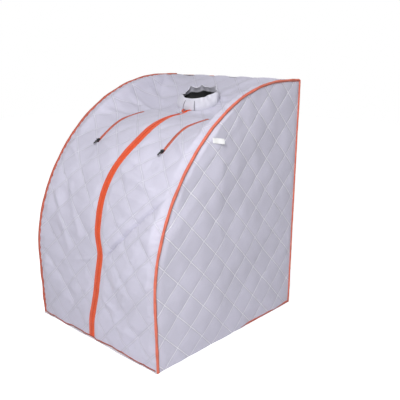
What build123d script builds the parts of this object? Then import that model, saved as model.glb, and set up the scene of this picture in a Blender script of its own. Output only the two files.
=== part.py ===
"""Portable steam sauna: a quilted fabric tent on a light pole frame.

Millimetres, +Z up, +X to the sitter's left hand side when seen from the front, front towards -Y.
The origin is on the floor, in the middle of the tent's nominal width and depth.

The side walls are flat D shapes: the front edge stands almost upright, leans a little forward, and
then rolls back in tangent arcs to a level top.  Two side arches carry the roof, which hangs between
them in a shallow dip.  A zip runs up the middle from the hem to the neck hole.  Below the door seam
the two front flaps swing outwards; above it the roof stays and the slider runs on one round arc.
"""

import os
from math import atan2, cos, degrees, radians, sin, sqrt, tan

from build123d import *

os.makedirs("parts", exist_ok=True)

# ---------------------------------------------------------------- driving dimensions
WIDTH = 700.0
DEPTH = 800.0
HEIGHT = 980.0
WALL = 6.0  # quilted sandwich of outer cloth, wadding and lining
SEAM_GAP = 0.3  # sewn edges stand this far apart
FLOOR_THICK = 3.0  # waterproof floor sheet
FLOOR_LIP = 8.0  # the floor sheet shows this far in front of the hem

FRONT_LEAN = 92.2  # heading of the front at the floor, in degrees from level
HIP_HEADING = 75.6  # heading where the lower front arc meets the main arc
SHOULDER_HEADING = 25.9  # heading where the main arc meets the top arc
ARC_SHAPE = (0.82, 1.0, 0.88)  # lower, main and top arc radii against each other
TOP_FLAT = 117.0  # level stretch at the top rear
SEAM_HEADING = 62.0  # heading at the seam between the doors and the roof

ROOF_EDGE = 24.0  # level band of roof beside each arch
DIP_MARGIN = 10.0  # the dip stays level this far beyond the hand slots
DIP_HEADING = -1.0  # heading at the lowest stretch of the dip
REAR_HEADING = 27.0  # heading at which the dip climbs to the rear edge
REAR_RUN = 270.0  # straight climb to the rear edge

BINDING_RADIUS = 4.5
HEM_RADIUS = 2.5
FOOT_BINDING_START = 57.0  # the side foot is bound from here to the rear
HEM_CLEAR = 6.5  # door hem above the floor

TUBE_RADIUS = 8.0
TUBE_WALL = 1.0
ROD_RADIUS = 5.0
SOCKET_WALL = 3.0
HUB_MARGIN = 0.8  # the round hub of a fitting stands this far proud of its sockets
SOCKET_GAP = 0.2
SOCKET_STOP = 12.0  # tube end to fitting centre
SOCKET_REACH = 42.0  # socket mouth to fitting centre
TOP_BAR_DROP = 32.0  # rear top bar below the top, under the climbing roof

NECK_FROM_REAR = 225.0
NECK_HALF_WIDTH = 96.0
NECK_HALF_LENGTH = 76.0
COLLAR_HEIGHT = 48.0
COLLAR_TUCK = 12.0  # collar below the roof line
COLLAR_SHOULDER = 6.0  # the collar stays wide up to its shoulder, then gathers in
COLLAR_TOP_HALF_WIDTH = 66.0
COLLAR_TOP_HALF_LENGTH = 54.0
COLLAR_WALL = 4.0
TAB_LENGTH = 62.0
TAB_START = -24.0  # sewn end of the collar tab, across the front
TAB_THICK = 2.0
TAB_MARGIN = 10.5  # collar left bare above and below the tab

SLIT = 1.5  # gap between the two halves of a zipped edge
TAPE_THICK = 1.2
TAPE_GAP = 0.4  # tape above the cloth
MAIN_TAPE = 13.0  # width of one main zip tape
MAIN_COIL = 2.6
COIL_HEIGHT = 1.8
HAND_TAPE = 6.0
HAND_COIL = 1.8
HAND_ZIP_X = 185.0  # hand slots each side of the middle
HAND_TOP_HEADING = 5.5
HAND_BOTTOM_HEADING = 40.0

FORK_HALF_WIDTH = 10.0  # half width of the fork above the slider
SLIDER_LENGTH = 22.0
HAND_SLIDER_LENGTH = 16.0
SLIDER_PLATE = 2.4
SLIDER_FLANGE = 3.4  # slider beyond the coil, each side
PIN_RADIUS = 1.0
EAR_THICK = 1.6
PULL_LENGTH = 30.0
HAND_PULL_LENGTH = 25.0
PULL_WIDTH = 8.0
PULL_THICK = 1.6
RUN_GAP = 0.35  # clearance of the moving zip parts

DOOR_GAP = 0.6  # door edge to side wall
PORT_RADIUS = 16.5
PORT_HUB = 20.0
PORT_FLANGE = 32.0
PORT_FLANGE_THICK = 3.0
PORT_NUT_THICK = 6.0
PORT_LENGTH = 34.0
PORT_FROM_REAR = 170.0
PORT_HEIGHT = 130.0

LABEL_LENGTH = 50.0
LABEL_WIDTH = 22.0
LABEL_THICK = 1.2
LABEL_HEADING = 45.6  # where on the arch the label is sewn in

# ---------------------------------------------------------------- derived outline
HEADINGS = (FRONT_LEAN, HIP_HEADING, SHOULDER_HEADING, 0.0)


def step(start, end):
    """Travel (y, z) along a unit-radius arc that turns right from one heading to another."""
    a, b = radians(start), radians(end)
    return sin(a) - sin(b), cos(b) - cos(a)


ARC_STEPS = [step(a, b) for a, b in zip(HEADINGS, HEADINGS[1:])]
SUM_Y = sum(share * s[0] for share, s in zip(ARC_SHAPE, ARC_STEPS))
SUM_Z = sum(share * s[1] for share, s in zip(ARC_SHAPE, ARC_STEPS))
LEAN_SLOPE = 1 / tan(radians(FRONT_LEAN))
MAIN_RADIUS = (DEPTH - TOP_FLAT - HEIGHT * LEAN_SLOPE) / (SUM_Y - SUM_Z * LEAN_SLOPE)
FRONT_STRAIGHT = HEIGHT - MAIN_RADIUS * SUM_Z
ARC_RADII = [share * MAIN_RADIUS for share in ARC_SHAPE]

# a walk is a list of (kind, size, turn): a line has a length, an arc a radius and a right turn
FRONT_LINE = ("line", FRONT_STRAIGHT / sin(radians(FRONT_LEAN)), 0.0)
LOWER_ARC = ("arc", ARC_RADII[0], FRONT_LEAN - HIP_HEADING)
DOOR_ARC = ("arc", ARC_RADII[1], HIP_HEADING - SEAM_HEADING)
ROOF_ARC = ("arc", ARC_RADII[1], SEAM_HEADING - SHOULDER_HEADING)
TOP_ARC = ("arc", ARC_RADII[2], SHOULDER_HEADING)
TOP_LINE = ("line", TOP_FLAT, 0.0)
DOOR_WALK = [FRONT_LINE, LOWER_ARC, DOOR_ARC]
ROOF_WALK = [ROOF_ARC, TOP_ARC, TOP_LINE]
FOOT = (-DEPTH / 2, 0.0)


def travel(start, heading, walk):
    """Where a walk ends."""
    y, z = start
    for kind, size, turn in walk:
        if kind == "line":
            y, z = y + size * cos(radians(heading)), z + size * sin(radians(heading))
        else:
            dy, dz = step(heading, heading - turn)
            sign = 1 if turn > 0 else -1
            y, z = y + sign * size * dy, z + sign * size * dz
            heading -= turn
    return y, z


SEAM = travel(FOOT, FRONT_LEAN, DOOR_WALK)

# the dip is one arc down to its lowest stretch, one arc back up, and a straight climb to the rear
DOWN = step(SEAM_HEADING, DIP_HEADING)
UP = step(REAR_HEADING, DIP_HEADING)
REST_Y = DEPTH / 2 - SEAM[0] - REAR_RUN * cos(radians(REAR_HEADING))
REST_Z = HEIGHT - SEAM[1] - REAR_RUN * sin(radians(REAR_HEADING))
DETERMINANT = DOWN[0] * UP[1] - UP[0] * DOWN[1]
DIP_RADIUS = (REST_Y * UP[1] - UP[0] * REST_Z) / DETERMINANT
CLIMB_RADIUS = (DOWN[0] * REST_Z - DOWN[1] * REST_Y) / DETERMINANT
DIP_ARC = ("arc", DIP_RADIUS, SEAM_HEADING - DIP_HEADING)
CLIMB_ARC = ("arc", CLIMB_RADIUS, DIP_HEADING - REAR_HEADING)
DIP_WALK = [DIP_ARC, CLIMB_ARC, ("line", REAR_RUN, 0.0)]
DIP_CENTRE = (
    SEAM[0] + DIP_RADIUS * sin(radians(SEAM_HEADING)),
    SEAM[1] - DIP_RADIUS * cos(radians(SEAM_HEADING)),
)
DIP_END = travel(SEAM, SEAM_HEADING, [DIP_ARC])

HALF = WIDTH / 2
INNER_X = HALF - WALL  # inner face of a side wall
FLOOR_TOP = FLOOR_THICK + SEAM_GAP
SOCKET_RADIUS = TUBE_RADIUS + SOCKET_WALL
HUB_RADIUS = SOCKET_RADIUS + HUB_MARGIN
DIP_HALF_WIDTH = HAND_ZIP_X + DIP_MARGIN
FRAME_INSET = WALL + 0.8 + HUB_RADIUS  # frame centre lines from the outer faces
FRAME_X = HALF - FRAME_INSET
FRAME_REAR = DEPTH / 2 - FRAME_INSET
FRAME_LOW = FLOOR_TOP + HUB_RADIUS
TOP_BAR_Z = HEIGHT - TOP_BAR_DROP
ROD_TOP = HEIGHT - FRAME_INSET
LEAN_AXIS = Vector(0, cos(radians(FRONT_LEAN)), sin(radians(FRONT_LEAN)))
FRONT_FOOT_Y = (
    -DEPTH / 2
    + FRAME_INSET * sin(radians(FRONT_LEAN))
    + (FRAME_LOW + FRAME_INSET * cos(radians(FRONT_LEAN))) * LEAN_SLOPE
)
SIDES = {"left": -1, "right": 1}


# ---------------------------------------------------------------- outlines
def draw_walk(start, heading, walk, inset):
    """Draws a walk in the current BuildLine, moved inwards by inset; returns its two ends."""
    first = here = (
        start[0] + inset * sin(radians(heading)),
        start[1] - inset * cos(radians(heading)),
    )
    for kind, size, turn in walk:
        tangent = (cos(radians(heading)), sin(radians(heading)))
        if kind == "line":
            there = (here[0] + size * tangent[0], here[1] + size * tangent[1])
            Line(here, there)
        else:
            radius = size - inset if turn > 0 else size + inset
            there = travel(here, heading, [(kind, radius, turn)])
            middle = travel(here, heading, [(kind, radius, turn / 2)])
            ThreePointArc(here, middle, there)
            heading -= turn
        here = there
    return first, here


def strip(start, heading, walk, outer, inner):
    """Draws the thin closed outline between two insets of a walk, as a face of the open sketch."""
    with BuildLine() as outline:
        outer_ends = draw_walk(start, heading, walk, outer)
        inner_ends = draw_walk(start, heading, walk, inner)
        Line(outer_ends[0], inner_ends[0])
        Line(outer_ends[1], inner_ends[1])
    make_face(outline.edges())


def dip_sector(low_heading, high_heading, inner, outer):
    """Draws a ring sector over the dip arc, between two heights above it, as a face."""
    with BuildLine() as outline:
        edges = [
            CenterArc(
                DIP_CENTRE, DIP_RADIUS + height, 90 + low_heading, high_heading - low_heading
            )
            for height in (inner, outer)
        ]
        Line(edges[0] @ 0, edges[1] @ 0)
        Line(edges[0] @ 1, edges[1] @ 1)
    make_face(outline.edges())


def dip_point(heading, height=0.0):
    """(y, z) over the dip arc at a heading."""
    reach = DIP_RADIUS + height
    return (
        DIP_CENTRE[0] - reach * sin(radians(heading)),
        DIP_CENTRE[1] + reach * cos(radians(heading)),
    )


def save(part, label):
    part.label = label
    export_step(part, f"parts/{label}.step")


# ---------------------------------------------------------------- pole frame
def tube(label, start, end, radius=TUBE_RADIUS):
    axis = Vector(*end) - Vector(*start)
    with BuildPart() as pole:
        with BuildSketch(Plane(origin=start, z_dir=axis)):
            Circle(radius)
            Circle(radius - TUBE_WALL, mode=Mode.SUBTRACT)
        extrude(amount=axis.length)
    save(pole.part, label)


def fitting(label, centre, arms):
    """A moulded corner and its mirror: an arm is (direction, radius it holds, shift of its root)."""
    with BuildPart() as corner:
        with Locations(centre):
            Sphere(HUB_RADIUS)
        for direction, radius, shift in arms:
            root = Vector(*centre) + Vector(*shift)
            with BuildSketch(Plane(origin=root, z_dir=direction)):
                Circle(radius + SOCKET_WALL)
            extrude(amount=SOCKET_REACH)
        for direction, radius, shift in arms:
            root = Vector(*centre) + Vector(*shift) + Vector(*direction) * SOCKET_STOP
            with BuildSketch(Plane(origin=root, z_dir=direction)):
                Circle(radius + SOCKET_GAP)
            extrude(amount=SOCKET_REACH, mode=Mode.SUBTRACT)
    save(corner.part, f"{label}_left")
    save(mirror(corner.part, about=Plane.YZ), f"{label}_right")


def arch_rod(label, x):
    lift = (FRAME_LOW + SOCKET_STOP + 1.0) / sin(radians(FRONT_LEAN))
    walk = [
        ("line", FRONT_LINE[1] - lift, 0.0),
        LOWER_ARC,
        DOOR_ARC,
        ROOF_ARC,
        TOP_ARC,
        ("line", TOP_FLAT - FRAME_INSET - SOCKET_STOP - 1.0, 0.0),
    ]
    start = (FOOT[0] + lift * LEAN_AXIS.Y, FOOT[1] + lift * LEAN_AXIS.Z)
    with BuildPart() as rod:
        with BuildLine(Plane.YZ.offset(x)) as path:
            draw_walk(start, FRONT_LEAN, walk, FRAME_INSET)
        line = path.wire()
        with BuildSketch(Plane(origin=line @ 0, z_dir=line % 0)):
            Circle(ROD_RADIUS)
        sweep(path=line)
    save(rod.part, label)


def build_frame():
    front_low = (FRONT_FOOT_Y, FRAME_LOW)
    end = SOCKET_STOP + 1.0
    level = (0, 0, 0)
    fitting(
        "front_corner",
        (-FRAME_X, *front_low),
        [((1, 0, 0), TUBE_RADIUS, level), ((0, 1, 0), TUBE_RADIUS, level),
         (tuple(LEAN_AXIS), ROD_RADIUS, level)],
    )
    fitting(
        "rear_lower_corner",
        (-FRAME_X, FRAME_REAR, FRAME_LOW),
        [((1, 0, 0), TUBE_RADIUS, level), ((0, -1, 0), TUBE_RADIUS, level),
         ((0, 0, 1), TUBE_RADIUS, level)],
    )
    fitting(
        "rear_upper_corner",
        (-FRAME_X, FRAME_REAR, TOP_BAR_Z),
        [((1, 0, 0), TUBE_RADIUS, level), ((0, 0, -1), TUBE_RADIUS, level),
         ((0, -1, 0), ROD_RADIUS, (0, 0, ROD_TOP - TOP_BAR_Z))],
    )
    for side, s in SIDES.items():
        x = s * FRAME_X
        tube(f"side_rail_{side}", (x, FRONT_FOOT_Y + end, FRAME_LOW), (x, FRAME_REAR - end, FRAME_LOW))
        tube(f"rear_post_{side}", (x, FRAME_REAR, FRAME_LOW + end), (x, FRAME_REAR, TOP_BAR_Z - end))
        arch_rod(f"arch_rod_{side}", x)
    for label, y, z in (
        ("front_floor_bar", FRONT_FOOT_Y, FRAME_LOW),
        ("rear_floor_bar", FRAME_REAR, FRAME_LOW),
        ("rear_top_bar", FRAME_REAR, TOP_BAR_Z),
    ):
        tube(label, (-FRAME_X + end, y, z), (FRAME_X - end, y, z))


# ---------------------------------------------------------------- cloth walls
def side_wall(label, s):
    with BuildPart() as wall:
        with BuildSketch(Plane.YZ.offset(min(s * HALF, s * INNER_X))):
            with BuildLine():
                ends = draw_walk(FOOT, FRONT_LEAN, DOOR_WALK + ROOF_WALK, 0.0)
                Polyline(ends[1], (DEPTH / 2, 0.0), ends[0])
            make_face()
        extrude(amount=WALL)
        split(bisect_by=Plane.XY.offset(FLOOR_TOP), keep=Keep.TOP)
        if s < 0:
            with BuildSketch(Plane.YZ.offset(-HALF)):
                with Locations((DEPTH / 2 - PORT_FROM_REAR, PORT_HEIGHT)):
                    Circle(PORT_HUB + 0.5)
            extrude(amount=WALL, mode=Mode.SUBTRACT)
    save(wall.part, label)


def back_wall():
    with BuildPart() as wall:
        with BuildSketch(Plane.XY.offset(FLOOR_TOP)):
            with Locations((0, DEPTH / 2 - WALL / 2)):
                Rectangle(2 * (INNER_X - SEAM_GAP), WALL)
        extrude(amount=HEIGHT - FLOOR_TOP)
    save(wall.part, "back_wall")


def floor_sheet():
    with BuildPart() as sheet:
        with BuildSketch():
            with Locations((0, -FLOOR_LIP / 2)):
                Rectangle(WIDTH, DEPTH + FLOOR_LIP)
        extrude(amount=FLOOR_THICK)
    save(sheet.part, "floor_sheet")


def door_panel(side, s):
    near, far = SLIT / 2, INNER_X - DOOR_GAP
    with BuildPart() as panel:
        with BuildSketch(Plane.YZ.offset(s * near)):
            strip(FOOT, FRONT_LEAN, DOOR_WALK, 0.0, WALL)
        extrude(amount=s * (far - near))
        split(bisect_by=Plane.XY.offset(HEM_CLEAR), keep=Keep.TOP)
    save(panel.part, f"door_panel_{side}")


def door_trim(side, s):
    """Zip tape, zip coil and hem binding of one door."""
    near = SLIT / 2
    for label, width, low in (
        ("door_zip_tape", MAIN_TAPE, TAPE_GAP),
        ("door_zip_coil", MAIN_COIL, TAPE_GAP + TAPE_THICK + 0.1),
    ):
        high = low + (TAPE_THICK if width == MAIN_TAPE else COIL_HEIGHT)
        with BuildPart() as trim:
            with BuildSketch(Plane.YZ.offset(s * near)):
                strip(FOOT, FRONT_LEAN, DOOR_WALK, -high, -low)
            extrude(amount=s * width)
            split(bisect_by=Plane.XY.offset(HEM_CLEAR + 2 * HEM_RADIUS), keep=Keep.TOP)
        save(trim.part, f"{label}_{side}")
    corner_y = FOOT[0] + HEM_CLEAR * LEAN_SLOPE
    with BuildPart() as hem:
        with BuildSketch(Plane.YZ.offset(s * near)):
            with Locations((corner_y, HEM_CLEAR)):
                Circle(HEM_RADIUS)
                with Locations((HEM_RADIUS - SEAM_GAP, HEM_RADIUS - SEAM_GAP)):
                    Rectangle(2 * HEM_RADIUS, 2 * HEM_RADIUS, mode=Mode.SUBTRACT)
        extrude(amount=s * (INNER_X - DOOR_GAP - near))
    save(hem.part, f"door_hem_{side}")


def dip_height(y):
    """Height of the roof along the middle, at y."""
    low, high = radians(DIP_HEADING), radians(REAR_HEADING)
    centre_y = DIP_END[0] - CLIMB_RADIUS * sin(low)
    centre_z = DIP_END[1] + CLIMB_RADIUS * cos(low)
    climb_y = centre_y + CLIMB_RADIUS * sin(high)
    climb_z = centre_z - CLIMB_RADIUS * cos(high)
    if y < DIP_END[0]:
        return DIP_CENTRE[1] + sqrt(DIP_RADIUS**2 - (y - DIP_CENTRE[0]) ** 2)
    if y < climb_y:
        return centre_z - sqrt(CLIMB_RADIUS**2 - (y - centre_y) ** 2)
    return climb_z + (y - climb_y) * tan(high)


def neck_frame():
    """The plane over the middle of the neck hole, its normal out of the roof."""
    y = DEPTH / 2 - NECK_FROM_REAR
    front, rear = dip_height(y - NECK_HALF_LENGTH), dip_height(y + NECK_HALF_LENGTH)
    heading = atan2(rear - front, 2 * NECK_HALF_LENGTH)
    origin = (0, y, (front + rear) / 2)
    return Plane(origin=origin, x_dir=(1, 0, 0), z_dir=(0, -sin(heading), cos(heading)))


NECK = neck_frame()
FORK_END = NECK.origin.Y - NECK_HALF_LENGTH * 0.9


def roof_panel():
    edge = INNER_X - SEAM_GAP
    sections = [
        (-edge, ROOF_WALK), (-edge + ROOF_EDGE, ROOF_WALK), (-DIP_HALF_WIDTH, DIP_WALK),
        (DIP_HALF_WIDTH, DIP_WALK), (edge - ROOF_EDGE, ROOF_WALK), (edge, ROOF_WALK),
    ]
    with BuildPart() as roof:
        for x, walk in sections:
            with BuildSketch(Plane.YZ.offset(x)):
                strip(SEAM, SEAM_HEADING, walk, 0.0, WALL)
        loft(ruled=True)
        split(bisect_by=Plane.XZ.offset(-(DEPTH / 2 - WALL - SEAM_GAP)), keep=Keep.TOP)
        # the seam side is trimmed so that the doors pass it
        seam_plane = Plane(
            origin=(0, SEAM[0] + DOOR_GAP * cos(radians(SEAM_HEADING)),
                    SEAM[1] + DOOR_GAP * sin(radians(SEAM_HEADING))),
            z_dir=(0, cos(radians(SEAM_HEADING)), sin(radians(SEAM_HEADING))),
        )
        split(bisect_by=seam_plane, keep=Keep.TOP)
        with BuildSketch(NECK.offset(-3 * COLLAR_TUCK)):
            Ellipse(NECK_HALF_WIDTH, NECK_HALF_LENGTH)
        extrude(amount=6 * COLLAR_TUCK, mode=Mode.SUBTRACT)
        # the zipped edges: one slit up the middle to the neck hole and two hand slots
        with BuildSketch(Plane.YZ.offset(-SLIT / 2)):
            dip_sector(DIP_HEADING - 1, SEAM_HEADING + 2, -2 * WALL, 2 * WALL)
        extrude(amount=SLIT, mode=Mode.SUBTRACT)
        for s in SIDES.values():
            with BuildSketch(Plane.YZ.offset(s * HAND_ZIP_X - SLIT / 2)):
                dip_sector(HAND_TOP_HEADING, HAND_BOTTOM_HEADING, -2 * WALL, 2 * WALL)
            extrude(amount=SLIT, mode=Mode.SUBTRACT)
        # above the slider the two edges fork open to the neck hole
        with BuildSketch(Plane.XY.offset(HEIGHT)):
            Polygon(
                (-SLIT / 2, DIP_END[0]), (SLIT / 2, DIP_END[0]), (FORK_HALF_WIDTH, FORK_END),
                (-FORK_HALF_WIDTH, FORK_END), align=None,
            )
        extrude(amount=-(HEIGHT - SEAM[1]), mode=Mode.SUBTRACT)
    save(roof.part, "roof_panel")


def zip_run(label, x, low_heading, high_heading, tape, coil):
    """A closed zip on the dip arc: two tapes and two coils, each pair in one node."""
    for kind, width, low, thick in (
        ("tape", tape, TAPE_GAP, TAPE_THICK),
        ("coil", coil, TAPE_GAP + TAPE_THICK + 0.1, COIL_HEIGHT),
    ):
        with BuildPart() as run:
            for s in SIDES.values():
                with BuildSketch(Plane.YZ.offset(x + s * SLIT / 2)):
                    dip_sector(low_heading, high_heading, low, low + thick)
                extrude(amount=s * width)
        save(run.part, f"{label}_{kind}")


# ---------------------------------------------------------------- neck collar
def collar_solid(grow, tall=0.0):
    """Tapered elliptic body of the collar, its outside moved out by grow."""
    with BuildPart() as body:
        with BuildSketch(NECK.offset(-COLLAR_TUCK - tall)):
            Ellipse(NECK_HALF_WIDTH - SEAM_GAP + grow, NECK_HALF_LENGTH - SEAM_GAP + grow)
        with BuildSketch(NECK.offset(COLLAR_HEIGHT * 0.5)):
            wide, long = NECK_HALF_WIDTH - COLLAR_SHOULDER, NECK_HALF_LENGTH - COLLAR_SHOULDER
            Ellipse(wide + grow, long + grow)
        with BuildSketch(NECK.offset(COLLAR_HEIGHT + tall)):
            Ellipse(COLLAR_TOP_HALF_WIDTH + grow, COLLAR_TOP_HALF_LENGTH + grow)
        loft()
    return body.part


def neck_collar():
    with BuildPart() as collar:
        add(collar_solid(-1.0))
        add(collar_solid(-1.0 - COLLAR_WALL, tall=0.01), mode=Mode.SUBTRACT)
    save(collar.part, "neck_collar")


def collar_tab():
    """The hook and loop tab across the front of the collar."""
    with BuildPart() as tab:
        add(collar_solid(TAB_THICK))
        add(collar_solid(0.0, tall=0.01), mode=Mode.SUBTRACT)
        low, high = TAB_MARGIN, COLLAR_HEIGHT - TAB_MARGIN
        with BuildSketch(NECK.offset(low)):
            with Locations((TAB_START + TAB_LENGTH / 2, -NECK_HALF_LENGTH)):
                Rectangle(TAB_LENGTH, NECK_HALF_LENGTH)
        extrude(amount=high - low, mode=Mode.INTERSECT)
    save(tab.part, "collar_tab")


# ---------------------------------------------------------------- zip sliders and pulls
def slider(label, x, heading, coil, length):
    """A slider that rides over the coil of a closed zip, with two ears and a pin for its pull."""
    half_turn = degrees(length / 2 / DIP_RADIUS)
    tape_top = TAPE_GAP + TAPE_THICK
    low, coil_top = tape_top + RUN_GAP, tape_top + 0.1 + COIL_HEIGHT + RUN_GAP
    high = coil_top + SLIDER_PLATE
    channel = SLIT / 2 + coil + RUN_GAP
    half_width = channel + SLIDER_FLANGE
    pin_height = high + PIN_RADIUS + RUN_GAP + PULL_THICK
    ear_turn = degrees(2.4 / DIP_RADIUS)
    ear_out = PULL_WIDTH / 4 + RUN_GAP + EAR_THICK
    pin_y, pin_z = dip_point(heading, pin_height)
    with BuildPart() as body:
        with BuildSketch(Plane.YZ.offset(x - half_width)):
            dip_sector(heading - half_turn, heading + half_turn, low, high)
        extrude(amount=2 * half_width)
        with BuildSketch(Plane.YZ.offset(x - channel)):
            dip_sector(heading - 2 * half_turn, heading + 2 * half_turn, 0, coil_top)
        extrude(amount=2 * channel, mode=Mode.SUBTRACT)
        for s in SIDES.values():
            with BuildSketch(Plane.YZ.offset(x + s * (ear_out - EAR_THICK))):
                dip_sector(heading - ear_turn, heading + ear_turn, high - 0.5, pin_height)
            extrude(amount=s * EAR_THICK)
            with BuildSketch(Plane.YZ.offset(x + s * (ear_out - EAR_THICK))):
                with Locations((pin_y, pin_z)):
                    Circle(2.4)
            extrude(amount=s * EAR_THICK)
        with BuildSketch(Plane.YZ.offset(x - ear_out + EAR_THICK / 2)):
            with Locations((pin_y, pin_z)):
                Circle(PIN_RADIUS)
        extrude(amount=2 * ear_out - EAR_THICK)
    save(body.part, label)
    return pin_y, pin_z


def pull(label, x, heading, pin, length):
    """A pull tab on the slider's pin: a barrel, a neck and a wider grip with a slot."""
    barrel = PIN_RADIUS + RUN_GAP / 2 + PULL_THICK - 0.3
    along = Vector(0, -cos(radians(heading)), -sin(radians(heading)))
    up = Vector(0, -sin(radians(heading)), cos(radians(heading)))
    plate = Plane(
        origin=Vector(x, *pin) - up * (PULL_THICK / 2), x_dir=(1, 0, 0), z_dir=up
    )
    forward = 1 if plate.y_dir.dot(along) > 0 else -1
    with BuildPart() as tab:
        with BuildSketch(Plane.YZ.offset(x - PULL_WIDTH / 4)):
            with Locations(pin):
                Circle(barrel)
        extrude(amount=PULL_WIDTH / 2)
        with BuildSketch(plate):
            with Locations((0, forward * length * 0.2)):
                Rectangle(PULL_WIDTH / 2, length * 0.4)
            with Locations((0, forward * length * 0.66)):
                RectangleRounded(PULL_WIDTH, length * 0.68, PULL_WIDTH / 3)
            with Locations((0, forward * (length - PULL_WIDTH))):
                SlotOverall(PULL_WIDTH * 0.9, PULL_WIDTH * 0.4, rotation=90, mode=Mode.SUBTRACT)
        extrude(amount=PULL_THICK)
        with BuildSketch(Plane.YZ.offset(x - PULL_WIDTH)):
            with Locations(pin):
                Circle(PIN_RADIUS + RUN_GAP / 2)
        extrude(amount=2 * PULL_WIDTH, mode=Mode.SUBTRACT)
    save(tab.part, label)


# ---------------------------------------------------------------- bindings, port and label
def corner_bead(x_side, radius=BINDING_RADIUS):
    """Draws a round bead with the cloth corner cut out; the cloth lies at -x_side and +y."""
    Circle(radius)
    with Locations((-x_side * (radius - SEAM_GAP), radius - SEAM_GAP)):
        Rectangle(2 * radius, 2 * radius, mode=Mode.SUBTRACT)


def arch_binding(side, s):
    end = TOP_FLAT - BINDING_RADIUS - SEAM_GAP
    walk = [FRONT_LINE, LOWER_ARC, DOOR_ARC, ROOF_ARC, TOP_ARC, ("line", end, 0.0)]
    with BuildPart() as bead:
        with BuildLine(Plane.YZ.offset(s * HALF)) as path:
            draw_walk(FOOT, FRONT_LEAN, walk, 0.0)
        line = path.wire()
        with BuildSketch(Plane(origin=line @ 0, x_dir=(1, 0, 0), z_dir=line % 0)):
            corner_bead(s)
        sweep(path=line)
        split(bisect_by=Plane.XY.offset(FLOOR_TOP), keep=Keep.TOP)
    save(bead.part, f"arch_binding_{side}")


def straight_binding(label, origin, x_dir, axis, x_side, length):
    with BuildPart() as bead:
        with BuildSketch(Plane(origin=origin, x_dir=x_dir, z_dir=axis)):
            corner_bead(x_side)
        extrude(amount=length)
    save(bead.part, label)


def foot_binding(side, s, start, end):
    """A flat-backed bead along the lower rear edge of a side wall."""
    radius = BINDING_RADIUS
    with BuildPart() as bead:
        with BuildSketch(Plane.XZ.offset(-start)):
            with Locations((s * (HALF + SEAM_GAP), FLOOR_TOP + radius)):
                Circle(radius)
                with Locations((-s * radius, 0)):
                    Rectangle(2 * radius, 2 * radius, mode=Mode.SUBTRACT)
        extrude(amount=-(end - start))
    save(bead.part, f"foot_binding_{side}")


def build_bindings():
    rear, clear = DEPTH / 2, BINDING_RADIUS + SEAM_GAP
    for side, s in SIDES.items():
        arch_binding(side, s)
        straight_binding(
            f"rear_binding_{side}", (s * HALF, rear, HEIGHT + BINDING_RADIUS), (1, 0, 0), (0, 0, -1),
            s, HEIGHT + BINDING_RADIUS - FLOOR_TOP,
        )
        foot_binding(side, s, FOOT_BINDING_START, rear - clear)
    straight_binding(
        "rear_top_binding", (HALF - clear, rear, HEIGHT), (0, 1, 0), (-1, 0, 0), 1,
        2 * (HALF - clear),
    )


def steam_port():
    centre = (-HALF, DEPTH / 2 - PORT_FROM_REAR, PORT_HEIGHT)
    outside = Plane(origin=centre, z_dir=(-1, 0, 0)).offset(SEAM_GAP)
    with BuildPart() as flange:
        with BuildSketch(outside):
            Circle(PORT_FLANGE)
        extrude(amount=PORT_FLANGE_THICK)
        fillet(flange.faces().sort_by(Axis.X)[0].edges(), PORT_FLANGE_THICK / 2)
        with BuildSketch(outside.offset(PORT_FLANGE_THICK)):
            Circle(PORT_HUB)
        extrude(amount=-PORT_LENGTH)
        with BuildSketch(outside.offset(PORT_FLANGE_THICK)):
            Circle(PORT_RADIUS)
        extrude(amount=-PORT_LENGTH, mode=Mode.SUBTRACT)
    save(flange.part, "steam_port")
    with BuildPart() as nut:
        with BuildSketch(outside.offset(-SEAM_GAP - WALL - SEAM_GAP)):
            RegularPolygon(PORT_FLANGE, 8)
            Circle(PORT_HUB + SOCKET_GAP / 2, mode=Mode.SUBTRACT)
        extrude(amount=-PORT_NUT_THICK)
    save(nut.part, "steam_port_nut")


def side_label():
    """The blank tag sewn into the right arch seam."""
    walk = [FRONT_LINE, LOWER_ARC, DOOR_ARC, ("arc", ARC_RADII[1], SEAM_HEADING - LABEL_HEADING)]
    y, z = travel(FOOT, FRONT_LEAN, walk)
    with BuildPart() as tag:
        with BuildSketch(Plane.YZ.offset(HALF + SEAM_GAP)):
            with Locations((y + LABEL_LENGTH / 2 + 2 * BINDING_RADIUS, z - LABEL_WIDTH / 2)):
                Rectangle(LABEL_LENGTH, LABEL_WIDTH)
        extrude(amount=LABEL_THICK)
    save(tag.part, "side_label")


# ---------------------------------------------------------------- assembly
ZIP_TOP_HEADING = DIP_HEADING + 0.2
SLIDER_HEADING = ZIP_TOP_HEADING + degrees(SLIDER_LENGTH / 2 / DIP_RADIUS)
HAND_SLIDER_HEADING = HAND_BOTTOM_HEADING - degrees(HAND_SLIDER_LENGTH * 0.6 / DIP_RADIUS)

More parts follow.
